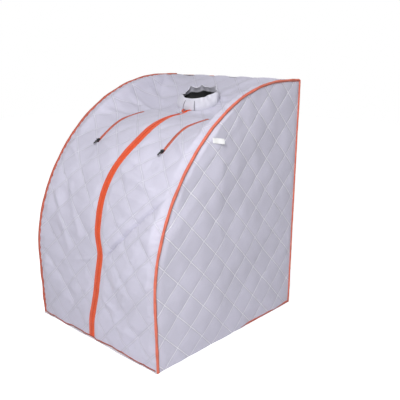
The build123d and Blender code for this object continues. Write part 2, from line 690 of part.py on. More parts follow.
build_frame()
for side_name, sign in SIDES.items():
    side_wall(f"side_wall_{side_name}", sign)
    door_panel(side_name, sign)
    door_trim(side_name, sign)
back_wall()
floor_sheet()
roof_panel()
seam_turn = degrees((DOOR_GAP + 1.0) / DIP_RADIUS)
zip_run("roof_zip", 0.0, ZIP_TOP_HEADING, SEAM_HEADING - seam_turn, MAIN_TAPE, MAIN_COIL)
neck_collar()
collar_tab()
main_pin = slider("main_zip_slider", 0.0, SLIDER_HEADING, MAIN_COIL, SLIDER_LENGTH)
pull("main_zip_pull", 0.0, SLIDER_HEADING, main_pin, PULL_LENGTH)
for side_name, sign in SIDES.items():
    hand_x = sign * HAND_ZIP_X
    zip_run(
        f"hand_zip_{side_name}", hand_x, HAND_TOP_HEADING, HAND_BOTTOM_HEADING, HAND_TAPE, HAND_COIL
    )
    hand_pin = slider(
        f"hand_zip_slider_{side_name}", hand_x, HAND_SLIDER_HEADING, HAND_COIL, HAND_SLIDER_LENGTH
    )
    pull(f"hand_zip_pull_{side_name}", hand_x, HAND_SLIDER_HEADING, hand_pin, HAND_PULL_LENGTH)
build_bindings()
steam_port()
side_label()
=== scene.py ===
"""Looks of the portable steam sauna: quilted cloth skins, zips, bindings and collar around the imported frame."""
import math

import bmesh
import bpy
import numpy as np
from mathutils import Matrix, Vector


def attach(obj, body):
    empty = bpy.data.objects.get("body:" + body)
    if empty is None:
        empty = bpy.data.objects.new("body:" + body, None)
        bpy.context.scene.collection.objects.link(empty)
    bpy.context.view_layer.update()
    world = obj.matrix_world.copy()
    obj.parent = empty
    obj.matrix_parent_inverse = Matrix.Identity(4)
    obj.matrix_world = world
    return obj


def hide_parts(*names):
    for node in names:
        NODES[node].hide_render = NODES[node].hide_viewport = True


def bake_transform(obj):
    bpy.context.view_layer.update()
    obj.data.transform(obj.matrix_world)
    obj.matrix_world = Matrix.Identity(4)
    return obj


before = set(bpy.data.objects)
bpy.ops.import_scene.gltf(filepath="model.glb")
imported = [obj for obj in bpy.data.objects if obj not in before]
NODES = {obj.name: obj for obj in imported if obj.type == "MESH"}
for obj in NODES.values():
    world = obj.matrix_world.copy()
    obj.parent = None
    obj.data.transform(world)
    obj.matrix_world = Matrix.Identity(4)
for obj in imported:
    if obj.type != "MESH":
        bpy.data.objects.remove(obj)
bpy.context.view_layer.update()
TENT = "tent"
SIDES = {"left": -1.0, "right": 1.0}

# ------------------------------------------------------------------ outline, metres
LEAN, HIP, SHOULDER, SEAM_AT = 92.2, 75.6, 25.9, 62.0
SHARES = (0.82, 1.0, 0.88)
HALF, DEPTH_HALF, HEIGHT, TOP_FLAT = 0.35, 0.4, 0.98, 0.117
INNER_X, EDGE_X = 0.344, 0.3434
DIP_AT, REAR_AT, REAR_RUN = -1.0, 27.0, 0.27
FLAT_X = 0.195  # the dip is level within this half width
TUBE_INNER_X = 0.3235  # the cloth is level over the arch tube outside this
HAND_X = 0.185  # the hand zips run this far from the middle
SAMPLES = 200  # points to a part of the outline


def step(start, end):
    a, b = math.radians(start), math.radians(end)
    return np.array([math.sin(a) - math.sin(b), math.cos(b) - math.cos(a)])


def walk(start, heading, parts):
    """Points of lines and arcs, SAMPLES to a part, with the heading at each."""
    here, points = np.array(start, float), []
    for kind, size, turn in parts:
        for k in range(SAMPLES + 1):
            t = k / SAMPLES
            if kind == "line":
                a = math.radians(heading)
                points.append([*(here + size * t * np.array([math.cos(a), math.sin(a)])), heading])
            else:
                sign = 1 if turn > 0 else -1
                at = here + sign * size * step(heading, heading - turn * t)
                points.append([*at, heading - turn * t])
        here = np.array(points[-1][:2])
        heading -= turn
    return np.array(points)


turns = [step(LEAN, HIP), step(HIP, SHOULDER), step(SHOULDER, 0.0)]
total = sum(share * t for share, t in zip(SHARES, turns))
slope = 1 / math.tan(math.radians(LEAN))
MAIN_R = (2 * DEPTH_HALF - TOP_FLAT - HEIGHT * slope) / (total[0] - total[1] * slope)
STRAIGHT = (HEIGHT - MAIN_R * total[1]) / math.sin(math.radians(LEAN))
door_part = [("line", STRAIGHT, 0.0), ("arc", SHARES[0] * MAIN_R, LEAN - HIP), ("arc", MAIN_R, HIP - SEAM_AT)]
door_pts = walk((-DEPTH_HALF, 0.0), LEAN, door_part)
SEAM = door_pts[-1, :2]
down, up = step(SEAM_AT, DIP_AT), step(REAR_AT, DIP_AT)
rear = math.radians(REAR_AT)
rest = np.array([DEPTH_HALF, HEIGHT]) - SEAM - REAR_RUN * np.array([math.cos(rear), math.sin(rear)])
DIP_R, CLIMB_R = np.linalg.solve(np.array([down, up]).T, rest)
arch_roof = walk(SEAM, SEAM_AT, [("arc", MAIN_R, SEAM_AT - SHOULDER), ("arc", SHARES[2] * MAIN_R, SHOULDER),
                                 ("line", TOP_FLAT, 0.0)])
dip_roof = walk(SEAM, SEAM_AT, [("arc", DIP_R, SEAM_AT - DIP_AT), ("arc", CLIMB_R, DIP_AT - REAR_AT),
                                ("line", REAR_RUN, 0.0)])
ARCH = np.concatenate([door_pts, arch_roof])
DIP = np.concatenate([door_pts, dip_roof])
PARAM = np.concatenate([np.linspace(k, k + 1, SAMPLES + 1) for k in range(6)])
PARAM += np.repeat(np.arange(6), SAMPLES + 1) * 1e-9


def lengths(points):
    d = np.linalg.norm(np.diff(points[:, :2], axis=0), axis=1)
    return np.concatenate([[0], np.cumsum(d)])


ARCH_L, DIP_L = lengths(ARCH), lengths(DIP)
TOTAL_L = ARCH_L[-1]


def param_at(length):
    """The walk parameter at a length along the arch."""
    return np.interp(length, ARCH_L, PARAM)


def param_dip(heading):
    return 3 + (SEAM_AT - heading) / (SEAM_AT - DIP_AT)


# ------------------------------------------------------------------ relief of the cloth
QUILT = 0.088
ROOT2 = math.sqrt(2)


def smooth(a, b, x):
    t = np.clip((x - a) / (b - a), 0, 1)
    return t * t * (3 - 2 * t)


def puff(u, v, phase_u=0.0, phase_v=0.0):
    """Height of quilting between 0 at the stitch lines and 1 at the middle of a diamond."""
    a = (u + phase_u + v + phase_v) / (ROOT2 * QUILT)
    b = (u + phase_u - v - phase_v) / (ROOT2 * QUILT)
    return (np.abs(np.sin(np.pi * a)) * np.abs(np.sin(np.pi * b))) ** 0.45


def ripples(u, v, seed, scale, count=7):
    """A repeatable sum of plane waves, about -1 to 1."""
    rng = np.random.default_rng(seed)
    out = np.zeros_like(u + v)
    for _ in range(count):
        angle, phase = rng.uniform(0, np.pi), rng.uniform(0, 2 * np.pi)
        wave = scale * rng.uniform(0.7, 1.6)
        out = out + np.sin(2 * np.pi * (u * math.cos(angle) + v * math.sin(angle)) / wave + phase)
    return out / math.sqrt(count)


def beside_line(u, v, start, end, fade):
    """(signed distance from a line, weight that falls from 1 to 0 at its ends)."""
    s, e = np.array(start), np.array(end)
    along = e - s
    length = np.linalg.norm(along)
    along = along / length
    t = (u - s[0]) * along[0] + (v - s[1]) * along[1]
    d = (u - s[0]) * along[1] - (v - s[1]) * along[0]
    return d, smooth(-fade, fade, t) * smooth(-fade, fade, length - t)


def crease(u, v, start, end, rise, reach, sharp, fade=0.05):
    """A fold along a line: past the line the cloth climbs by rise over reach; sharp is its edge."""
    d, ends = beside_line(u, v, start, end, fade)
    far = np.abs(d)
    climb = (1 - np.exp(-far / reach)) * np.exp(-np.maximum(far - reach, 0) / (2 * reach))
    body = np.where(d > 0, 1.0, 0.6) * climb
    edge = -np.exp(-(d / sharp) ** 2)
    return (rise * body + 0.35 * abs(rise) * edge) * ends


def ridge(u, v, start, end, height, width, fade=0.04):
    """A rounded fold standing up along a line."""
    d, ends = beside_line(u, v, start, end, fade)
    return height * np.exp(-(d / width) ** 2) * ends


# the main zip's sideways place by length along the cloth
ZIP_L = [0.0, 0.013, 0.081, 0.182, 0.305, 0.360, 0.440, 0.526,
         0.600, 0.640, 0.700, 0.76, 0.83, 0.90, 0.97, 1.04]
ZIP_X = [-0.026, -0.025, -0.023, 0.002, 0.018, 0.023, -0.004, -0.007,
         -0.009, -0.004, 0.003, 0.012, 0.022, 0.016, 0.008, 0.0]
# how far the front is drawn in at its middle, by length
HOLLOW_L = [0.0, 0.081, 0.182, 0.305, 0.370, 0.450, 0.540, 0.620, 0.680]
HOLLOW = [0.0, 0.003, 0.012, 0.024, 0.026, 0.020, 0.010, 0.004, 0.0]


WINDOW = ((-0.024, 0.15), (-0.012, 0.22), (0.0, 0.26), (0.012, 0.22), (0.024, 0.15))


def soft_interp(x, xs, ys):
    """Smooth interpolation: linear, averaged over a short window."""
    out = 0
    for shift, share in WINDOW:
        out = out + share * np.interp(x + shift, xs, ys)
    return out


def zip_line(length):
    return soft_interp(length, ZIP_L, ZIP_X)


# half width of the main zip's tapes along it: widest where the cloth bulges, drawn in near the neck
TAPE_L = [0.0, 0.62, 0.72, 0.80, 0.90, 0.97, 1.03, 1.10]
TAPE_HALF = [0.0165, 0.0170, 0.0172, 0.0205, 0.0205, 0.0180, 0.0130, 0.0105]


def tape_half(length):
    return soft_interp(length, TAPE_L, TAPE_HALF)


# start (x, length), end, rise, reach, sharp
FRONT_CREASES = [
    ((0.046, 0.345), (0.305, 0.612), 0.0150, 0.055, 0.006),
    ((0.300, 0.150), (0.180, 0.030), 0.0030, 0.050, 0.010),
    ((-0.300, 0.520), (-0.060, 0.330), -0.0035, 0.060, 0.010),
    ((-0.330, 0.300), (-0.120, 0.120), 0.0030, 0.060, 0.012),
]
# start (x, length), end, height, width
FRONT_RIDGES = [
    ((0.030, 0.120), (0.250, 0.420), 0.0035, 0.020), ((0.080, 0.080), (0.290, 0.380), 0.0030, 0.022),
    ((0.150, 0.050), (0.325, 0.330), 0.0025, 0.018), ((-0.290, 0.560), (-0.160, 0.330), 0.0035, 0.020),
    ((-0.220, 0.600), (-0.100, 0.400), 0.0030, 0.018), ((-0.040, 0.200), (-0.150, 0.080), 0.0030, 0.014),
    ((-0.030, 0.330), (-0.110, 0.300), 0.0035, 0.010), ((0.040, 0.200), (0.110, 0.170), 0.0030, 0.012),
    ((0.035, 0.690), (0.240, 0.640), 0.0050, 0.016), ((0.060, 0.740), (0.160, 0.700), 0.0035, 0.012),
    ((-0.330, 0.760), (-0.230, 0.700), 0.0040, 0.016), ((-0.250, 0.830), (-0.060, 0.760), 0.0025, 0.018),
    ((0.215, 0.860), (0.320, 0.780), 0.0045, 0.014), ((0.230, 0.980), (0.325, 0.900), 0.0040, 0.015),
    ((-0.310, 0.960), (-0.210, 0.990), 0.0035, 0.016), ((-0.300, 1.120), (-0.120, 1.100), 0.0040, 0.018),
    ((-0.280, 1.230), (-0.120, 1.200), 0.0035, 0.016), ((0.120, 1.230), (0.300, 1.330), 0.0035, 0.018),
    ((-0.080, 1.330), (-0.240, 1.430), 0.0030, 0.018), ((0.060, 1.330), (0.120, 1.450), 0.0030, 0.016),
]
FOLD_GAIN = 1.7
MAIN_CALM, HAND_CALM = (0.012, 0.045), (0.010, 0.035)  # distance from a zip where its flat strip ends
HAND_BEGINS, HAND_ENDS = (0.68, 0.74), (1.08, 1.14)  # lengths where the hand zips' flat strips fade
RISE, RISE_REACH = 0.012, 0.022  # the ring drawn up round the neck hole
NECK_L = float(np.interp(0.175, DIP[3 * SAMPLES + 3:, 0], DIP_L[3 * SAMPLES + 3:]))


def neck_rise(x, length):
    """The cloth is drawn up round the neck hole."""
    away = (np.hypot(x / 0.096, (length - NECK_L) / 0.082) - 1) * 0.088
    pleats = 1 + 0.25 * np.sin(11 * np.arctan2(length - NECK_L, x) + 1.0) * smooth(0.0, 0.02, away)
    return RISE * np.exp(-(np.maximum(away, 0) / RISE_REACH) ** 2) * pleats


def skin_relief(x, length):
    """Height of the front and roof cloth over its plain surface, along the outward normal."""
    near_arch = np.exp(-(INNER_X - np.abs(x)) / 0.030)
    quilt = 0.0042 * puff(x, length, 0.0, 0.02)
    soft = 0.0022 * ripples(x, length, 3, 0.16) + 0.0010 * ripples(x, length, 8, 0.06)
    pucker = 0.0012 * np.sin(2 * np.pi * length / 0.034 + 3 * ripples(x, length, 5, 0.2)) * near_arch
    folds = sum(crease(x, length, *c) for c in FRONT_CREASES)
    folds = folds + sum(ridge(x, length, *r) for r in FRONT_RIDGES)
    hollow = soft_interp(length, HOLLOW_L, HOLLOW) * (1 - (x / INNER_X) ** 2)
    edge = smooth(0.0, 0.035, INNER_X - np.abs(x))
    # the zips lie flat; the relief is a tenth stronger on the lower front
    off_main = smooth(*MAIN_CALM, np.abs(x - zip_line(length))) * 0.9 + 0.1 * (length < 0.6)
    beside_hand = smooth(*HAND_CALM, np.abs(np.abs(x) - HAND_X))
    along_hand = smooth(*HAND_BEGINS, length) * (1 - smooth(*HAND_ENDS, length))
    off_hand = 1 - along_hand * (1 - beside_hand)
    lift = (quilt + soft + FOLD_GAIN * folds) * edge * off_main * off_hand + pucker * off_hand
    return lift - hollow + neck_rise(x, length)


def sag_weight(x):
    """0 where the cloth follows the arches, 1 where it follows the dipped middle."""
    t = np.clip((TUBE_INNER_X - np.abs(x)) / (TUBE_INNER_X - FLAT_X), 0, 1)
    return smooth(0, 0.25, t) * (1 - (1 - t) ** 1.6)


def plain(x, v):
    """The front and roof surface without relief."""
    w = sag_weight(x)
    ya, za = np.interp(v, PARAM, ARCH[:, 0]), np.interp(v, PARAM, ARCH[:, 1])
    yc, zc = np.interp(v, PARAM, DIP[:, 0]), np.interp(v, PARAM, DIP[:, 1])
    return np.stack([x + 0 * v, ya + (yc - ya) * w, za + (zc - za) * w], axis=-1)


def cloth_length(x, v):
    w = sag_weight(x)
    return np.interp(v, PARAM, ARCH_L) * (1 - w) + np.interp(v, PARAM, DIP_L) * w


def surface(x, v, lift=0.0):
    """(points, normals) of the front and roof skin at x and walk parameter v."""
    x, v = np.broadcast_arrays(np.asarray(x, float), np.asarray(v, float))
    e = 1e-3
    dx = plain(x + e, v) - plain(x - e, v)
    dv = plain(x, np.minimum(v + e, 6)) - plain(x, np.maximum(v - e, 0))
    n = np.cross(dx, dv)
    n /= np.linalg.norm(n, axis=-1, keepdims=True)
    height = skin_relief(x, cloth_length(x, v)) + lift
    return plain(x, v) + n * np.asarray(height)[..., None], n


# ------------------------------------------------------------------ mesh helpers
RIM_ANGLE = 0.9  # radians; a sharper edge than this is a cut rim


def make_mesh(name, verts, faces, uvs, materials):
    mesh = bpy.data.meshes.new(name)
    mesh.from_pydata([tuple(p) for p in verts], [], [tuple(f) for f in faces])
    mesh.update()
    layer = mesh.uv_layers.new(name="cloth")
    index = np.zeros(len(mesh.loops), int)
    mesh.loops.foreach_get("vertex_index", index)
    layer.data.foreach_set("uv", np.asarray(uvs, np.float32)[index].ravel())
    for m in materials:
        mesh.materials.append(m)
    mesh.polygons.foreach_set("use_smooth", [True] * len(mesh.polygons))
    obj = bpy.data.objects.new(name, mesh)
    bpy.context.scene.collection.objects.link(obj)
    return obj


def grid(points, flip=False, wrap=False, offset=0, keep=None):
    """(verts, faces) of a grid of points (rows, columns, 3)."""
    rows, cols = points.shape[:2]
    index = np.arange(rows * cols).reshape(rows, cols) + offset
    if wrap:
        index = np.concatenate([index, index[:, :1]], axis=1)
    a, b, c, d = index[:-1, :-1], index[:-1, 1:], index[1:, 1:], index[1:, :-1]
    quads = np.stack([a, d, c, b] if flip else [a, b, c, d], axis=-1).reshape(-1, 4)
    if keep is not None:
        inside = keep.reshape(-1)[quads - offset].any(axis=1)
        quads = quads[inside]
    return points.reshape(-1, 3), quads


def bake(obj):
    """Applies the modifiers of an object."""
    bpy.context.view_layer.update()
    done = bpy.data.meshes.new_from_object(obj.evaluated_get(bpy.context.evaluated_depsgraph_get()))
    obj.modifiers.clear()
    obj.data = done
    return obj


def shell(obj, thickness, inner_material=1):
    """Gives a cloth its thickness inwards and marks its cut rims as sharp."""
    m = obj.modifiers.new("shell", "SOLIDIFY")
    m.thickness = thickness
    m.offset = -1.0
    m.use_rim = True
    m.material_offset = inner_material
    bake(obj)
    bm = bmesh.new()
    bm.from_mesh(obj.data)
    for edge in bm.edges:
        if len(edge.link_faces) == 2 and edge.calc_face_angle() > RIM_ANGLE:
            edge.smooth = False
    bm.to_mesh(obj.data)
    bm.free()
    return obj


def merge(obj, distance):
    m = obj.modifiers.new("weld", "WELD")
    m.merge_threshold = distance
    return bake(obj)


def drop_loose(verts, faces, uvs):
    """Leaves out the vertices no face uses."""
    used = np.unique(faces)
    where = -np.ones(len(verts), int)
    where[used] = np.arange(len(used))
    return verts[used], where[faces], uvs[used]


def tube(name, path, normals, profile, materials, taper=None):
    """Sweeps a closed profile (list of (side, up) in metres) along path; normals point to profile up."""
    path, normals = np.asarray(path, float), np.asarray(normals, float)
    tangent = np.gradient(path, axis=0)
    tangent /= np.linalg.norm(tangent, axis=1, keepdims=True)
    side = np.cross(tangent, normals)
    side /= np.linalg.norm(side, axis=1, keepdims=True)
    up_dir = np.cross(side, tangent)
    profile = np.asarray(profile, float)
    scale = np.ones(len(path)) if taper is None else taper
    rings = (path[:, None] + side[:, None] * profile[None, :, :1] * scale[:, None, None]
             + up_dir[:, None] * profile[None, :, 1:] * scale[:, None, None])
    verts, faces = grid(rings, wrap=True, flip=True)
    faces = [tuple(f) for f in faces]
    n = len(profile)
    faces.append(tuple(range(n)))
    faces.append(tuple(range(len(verts) - 1, len(verts) - n - 1, -1)))
    along = np.concatenate([[0], np.cumsum(np.linalg.norm(np.diff(path, axis=0), axis=1))])
    uvs = np.stack([np.tile(np.linspace(0, 1, n, endpoint=False), len(path)), np.repeat(along, n)], axis=1)
    return make_mesh(name, verts, faces, uvs, materials)


# ------------------------------------------------------------------ materials
class Nodes:
    """A small writer of node trees."""

    def __init__(self, name):
        self.material = bpy.data.materials.new(name)
        self.material.use_nodes = True
        self.tree = self.material.node_tree
        self.bsdf = self.tree.nodes["Principled BSDF"]

    def add(self, kind, **values):
        node = self.tree.nodes.new(kind)
        for key, value in values.items():
            setattr(node, key, value)
        return node

    def link(self, a, b):
        self.tree.links.new(a, b)
        return b

    def value(self, socket, v):
        if isinstance(v, (int, float, tuple)):
            socket.default_value = v
        else:
            self.link(v, socket)

    def math(self, op, a, b=0.0, c=0.0):
        n = self.add("ShaderNodeMath", operation=op)
        for socket, v in zip(n.inputs, (a, b, c)):
            self.value(socket, v)
        return n.outputs[0]

    def ramp(self, fac, low, high, a=0.0, b=1.0):
        n = self.add("ShaderNodeMapRange", interpolation_type="SMOOTHSTEP")
        for socket, v in zip(n.inputs, (fac, low, high, a, b)):
            self.value(socket, v)
        return n.outputs[0]

    def mix(self, fac, a, b):
        n = self.add("ShaderNodeMix", data_type="RGBA")
        self.value(n.inputs[0], fac)
        self.value(n.inputs[6], a if not isinstance(a, tuple) else (*a, 1))
        self.value(n.inputs[7], b if not isinstance(b, tuple) else (*b, 1))
        return n.outputs[2]

    def noise(self, scale, detail=3.0, vector=None, rough=0.5):
        n = self.add("ShaderNodeTexNoise")
        n.inputs["Scale"].default_value = scale
        n.inputs["Detail"].default_value = detail
        n.inputs["Roughness"].default_value = rough
        if vector is not None:
            self.link(vector, n.inputs["Vector"])
        return n.outputs[0]

    def bump(self, height, distance, strength=1.0, after=None):
        n = self.add("ShaderNodeBump")
        n.inputs["Strength"].default_value = strength
        n.inputs["Distance"].default_value = distance
        self.link(height, n.inputs["Height"])
        if after is not None:
            self.link(after, n.inputs["Normal"])
        return n.outputs[0]

    def finish(self, colour, roughness, normal=None, **sockets):
        self.value(self.bsdf.inputs["Base Color"], colour if not isinstance(colour, tuple) else (*colour, 1))
        self.value(self.bsdf.inputs["Roughness"], roughness)
        if normal is not None:
            self.link(normal, self.bsdf.inputs["Normal"])
        for key, v in sockets.items():
            self.bsdf.inputs[key.replace("_", " ")].default_value = v
        return self.material

    def uv(self):
        s = self.add("ShaderNodeSeparateXYZ")
        self.link(self.add("ShaderNodeUVMap", uv_map="cloth").outputs[0], s.inputs[0])
        return s.outputs[0], s.outputs[1]

    def position(self):
        return self.add("ShaderNodeTexCoord").outputs["Object"]


def weave(n, scale=900.0):
    """Plain weave: two crossed bands, as a height."""
    bands = []
    for direction in ("DIAGONAL", "Z"):
        wave = n.add("ShaderNodeTexWave", wave_type="BANDS", bands_direction=direction)
        wave.inputs["Scale"].default_value = scale
        wave.inputs["Distortion"].default_value = 1.0
        n.link(n.position(), wave.inputs["Vector"])
        bands.append(wave.outputs["Fac"])
    return n.math("ADD", *bands)


FLANK = 0.0075  # reach of the painted shade beside a stitch line
STITCH = 0.0065  # pitch of the stitches


def quilted(name, colour, line_colour, phase=(0.0, 0.02), line_width=0.0021, shade=0.05, line_mix=0.50):
    """Quilted cloth: diamond stitch lines from the cloth's own coordinates, with single stitches in them."""
    n = Nodes(name)
    u, v = n.uv()
    u, v = n.math("ADD", u, phase[0]), n.math("ADD", v, phase[1])
    masks, painted_flank_shade, dashes = [], [], []
    for first, second in (("ADD", "SUBTRACT"), ("SUBTRACT", "ADD")):
        across = n.math("DIVIDE", n.math(first, u, v), ROOT2)
        along = n.math("DIVIDE", n.math(second, u, v), ROOT2)
        # distance to the nearest multiple of QUILT
        part = n.math("FRACT", n.math("ADD", n.math("DIVIDE", across, QUILT), 0.5))
        distance = n.math("MULTIPLY", n.math("ABSOLUTE", n.math("SUBTRACT", part, 0.5)), QUILT)
        masks.append(n.ramp(distance, line_width * 0.35, line_width, 1.0, 0.0))
        painted_flank_shade.append(n.ramp(distance, line_width, FLANK, 1.0, 0.0))
        stitch = n.math("FRACT", n.math("DIVIDE", along, STITCH))
        between = n.ramp(n.math("ABSOLUTE", n.math("SUBTRACT", stitch, 0.5)), 0.30, 0.42, 1.0, 0.35)
        dashes.append(n.math("MULTIPLY", between, n.ramp(distance, 0.0004, 0.0011, 1.0, 0.0)))
    line = n.math("MAXIMUM", *masks)
    dash = n.math("MAXIMUM", *dashes)
    cloud = n.noise(6.0, 4.0, n.position())
    speck = n.noise(420.0, 2.0, n.position())
    low = tuple(c * (1 - shade) for c in colour)
    high = tuple(min(1.0, c * (1 + shade)) for c in colour)
    base = n.mix(n.ramp(cloud, 0.3, 0.7), low, high)
    base = n.mix(n.math("MULTIPLY", n.ramp(speck, 0.45, 0.75), 0.12), base, low)
    # painted shade: the cloth is darkened in a band beside each stitch line, where the quilting dips
    shaded = tuple(c * 0.62 for c in colour)
    base = n.mix(n.math("MULTIPLY", n.math("MAXIMUM", *painted_flank_shade), 0.22), base, shaded)
    base = n.mix(n.math("MULTIPLY", line, line_mix), base, line_colour)
    base = n.mix(n.math("MULTIPLY", dash, 0.35), base, line_colour)
    rough = n.ramp(cloud, 0.2, 0.8, 0.62, 0.78)
    crumple = n.math("MULTIPLY", n.noise(60.0, 4.0, n.position()), 0.35)
    height = n.math("SUBTRACT", crumple, n.math("MULTIPLY", line, 0.9))
    height = n.math("ADD", height, n.math("MULTIPLY", dash, 0.35))
    first = n.bump(height, 0.0012, 0.9)
    second = n.bump(weave(n), 0.0002, 0.35, first)
    return n.finish(base, rough, second, Sheen_Weight=0.12, Sheen_Roughness=0.5)


def woven(name, colour, shade=0.12, rib=0.0016, rough=0.75, edge=None, edge_colour=None):
    """Narrow woven tape: ribs across it, darker near its edges."""
    n = Nodes(name)
    u, v = n.uv()
    ribs = n.math("SINE", n.math("MULTIPLY", v, 2 * math.pi / rib))
    cloud = n.noise(35.0, 3.0, n.position())
    low = tuple(c * (1 - shade) for c in colour)
    high = tuple(min(1.0, c * (1 + shade)) for c in colour)
    base = n.mix(n.ramp(cloud, 0.3, 0.7), low, high)
    if edge is not None:
        far = n.math("ABSOLUTE", n.math("SUBTRACT", u, 0.5))
        base = n.mix(n.ramp(far, edge[0], edge[1]), base, edge_colour)
    height = n.math("ADD", n.math("MULTIPLY", ribs, 0.5), n.noise(500.0, 2.0, n.position()))
    return n.finish(base, rough, n.bump(height, 0.0003, 0.6), Sheen_Weight=0.15)


def moulded(name, colour, rough, metallic=0.0, grain=0.0002, scale=260.0, shade=0.05):
    """A plain plastic, painted or metal surface with a fine grain."""
    n = Nodes(name)
    noise = n.noise(scale, 3.0, n.position())
    low = tuple(c * (1 - shade) for c in colour)
    base = n.mix(n.ramp(noise, 0.35, 0.65), low, colour)
    wear = n.ramp(n.noise(40.0, 4.0, n.position()), 0.35, 0.7, rough * 0.85, min(1.0, rough * 1.15))
    return n.finish(base, wear, n.bump(noise, grain, 0.5), Metallic=metallic)


def inside_of_collar():
    """Cloth near the rim, with painted shade that falls to near black further down inside the neck hole."""
    n = Nodes("collar_inside")
    _, v = n.uv()
    uneven = n.math("MULTIPLY", n.noise(30.0, 2.0, n.position()), 0.003)
    # painted shade: below the rim the inside darkens to near black, the shadow down the neck hole
    shade = n.ramp(n.math("ADD", v, uneven), 0.032, 0.040)
    base = n.mix(shade, (0.006, 0.006, 0.007), (0.66, 0.65, 0.74))
    return n.finish(base, 0.7, n.bump(n.noise(500.0, 2.0, n.position()), 0.0003, 0.5))


CLOTH = (0.560, 0.545, 0.655)
LINE = (0.780, 0.770, 0.860)
cloth_front = quilted("cloth_front", CLOTH, LINE)
cloth_side = quilted("cloth_side", (0.560, 0.545, 0.650), (0.900, 0.890, 0.960), phase=(0.0, 0.0),
                     line_mix=0.80)
cloth_plain = quilted("cloth_back", CLOTH, LINE, phase=(0.01, 0.0))
lining = moulded("lining", (0.018, 0.018, 0.020), 0.62, grain=0.0004, scale=500.0, shade=0.3)
collar_cloth = woven("collar_cloth", (0.640, 0.632, 0.710), shade=0.04, rib=0.0012)
collar_inside = inside_of_collar()
floor_cloth = moulded("floor_cloth", (0.820, 0.810, 0.860), 0.6, grain=0.0004, scale=700.0)
label_cloth = woven("label_cloth", (0.90, 0.90, 0.91), shade=0.02, rib=0.0010)
binding_cloth = woven("binding_cloth", (0.640, 0.140, 0.085), edge=(0.30, 0.46),
                      edge_colour=(0.34, 0.065, 0.04))
hem_cloth = woven("hem_cloth", (0.40, 0.085, 0.06))
tape_cloth = woven("zip_tape_cloth", (0.700, 0.078, 0.012), shade=0.08, rib=0.0013)
coil_plastic = moulded("zip_coil", (0.62, 0.060, 0.010), 0.45, grain=0.0003)
hand_coil = moulded("hand_zip_coil", (0.36, 0.055, 0.022), 0.5, grain=0.0003)
# painted shadow: colour of the thin strips along the collar tab's edges
painted_shadow = woven("painted_shadow", (0.16, 0.155, 0.18))
nickel = moulded("nickel", (0.78, 0.78, 0.79), 0.22, 1.0, grain=0.00008)
dark_enamel = moulded("dark_enamel", (0.022, 0.022, 0.025), 0.38, 0.2, grain=0.0001)
pole_paint = moulded("pole_paint", (0.50, 0.51, 0.53), 0.4, 0.35, grain=0.0001)
socket_plastic = moulded("socket_plastic", (0.030, 0.030, 0.033), 0.5)
port_plastic = moulded("port_plastic", (0.42, 0.42, 0.46), 0.45)


# ------------------------------------------------------------------ front and roof skins
CLOTH_THICK = 0.0045
HEM_L, SPLIT = 0.0065, 3.0 + 12.0 / 63.0
FOLD_FROM, FOLD_REACH = (0.0, 0.585), 0.25
FORK_START, FORK_END, FORK_HALF = 0.080, 0.106, 0.015
FORK_CLOSES = (0.15, 0.20)
HOLE_X, HOLE_REAR, HOLE_FRONT = 0.1020, 0.0784, 0.0700  # half widths of the neck hole
NECK_O = np.array([0.0, 0.175, 0.871996])
NECK_N = np.array([0.0, -0.388932, 0.921266])
NECK_X = np.array([1.0, 0.0, 0.0])
NECK_Y = np.cross(NECK_N, NECK_X)


def door_blend(obj, s):
    """Bakes the object's transform into its mesh; a direction across the front half's lower inner corner is
    worked out but not used.
    """
    across = np.array([-s * FOLD_FROM[1], 0.0, -INNER_X])
    across /= np.linalg.norm(across)
    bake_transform(obj)


def skin_rows(v0, v1, pitch=0.0052):
    """Walk parameters from v0 to v1, about pitch apart along the arch."""
    l0, l1 = np.interp([v0, v1], PARAM, ARCH_L)
    return param_at(np.linspace(l0, l1, int((l1 - l0) / pitch) + 2))


def half_skin(s, v, columns, spread=None):
    """Grid from the zip line out to the arch; columns 0..1."""
    v = v[:, None]
    x_in = zip_line(cloth_length(np.zeros_like(v), v))
    if spread is not None:
        x_in = x_in + s * spread(v)
    x = x_in + (s * EDGE_X - x_in) * columns[None, :]
    v = np.broadcast_to(v, x.shape)
    points, _ = surface(x, v)
    uvs = np.stack([x, cloth_length(x, v)], axis=-1).reshape(-1, 2)
    return points, uvs


columns = np.linspace(0, 1, 66)
rows = skin_rows(float(param_at(HEM_L)), SPLIT)
for side, s in SIDES.items():
    points, uvs = half_skin(s, rows, columns)
    verts, faces = grid(points, flip=s < 0)
    front = make_mesh(f"front_{side}", verts, faces, uvs, [cloth_front, lining])
    shell(front, CLOTH_THICK)
    door_blend(front, s)
    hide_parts(f"door_panel_{side}")


def fork_spread(v):
    """How far each side of the main zip parts from the middle before the neck."""
    y = np.interp(v, PARAM, DIP[:, 0])
    return FORK_HALF * np.clip((y - FORK_START) / (FORK_END - FORK_START), 0, 1)


def fork(v):
    """The same for the cloth, which is whole again behind the neck."""
    return fork_spread(v) * (1 - smooth(*FORK_CLOSES, np.interp(v, PARAM, DIP[:, 0])))


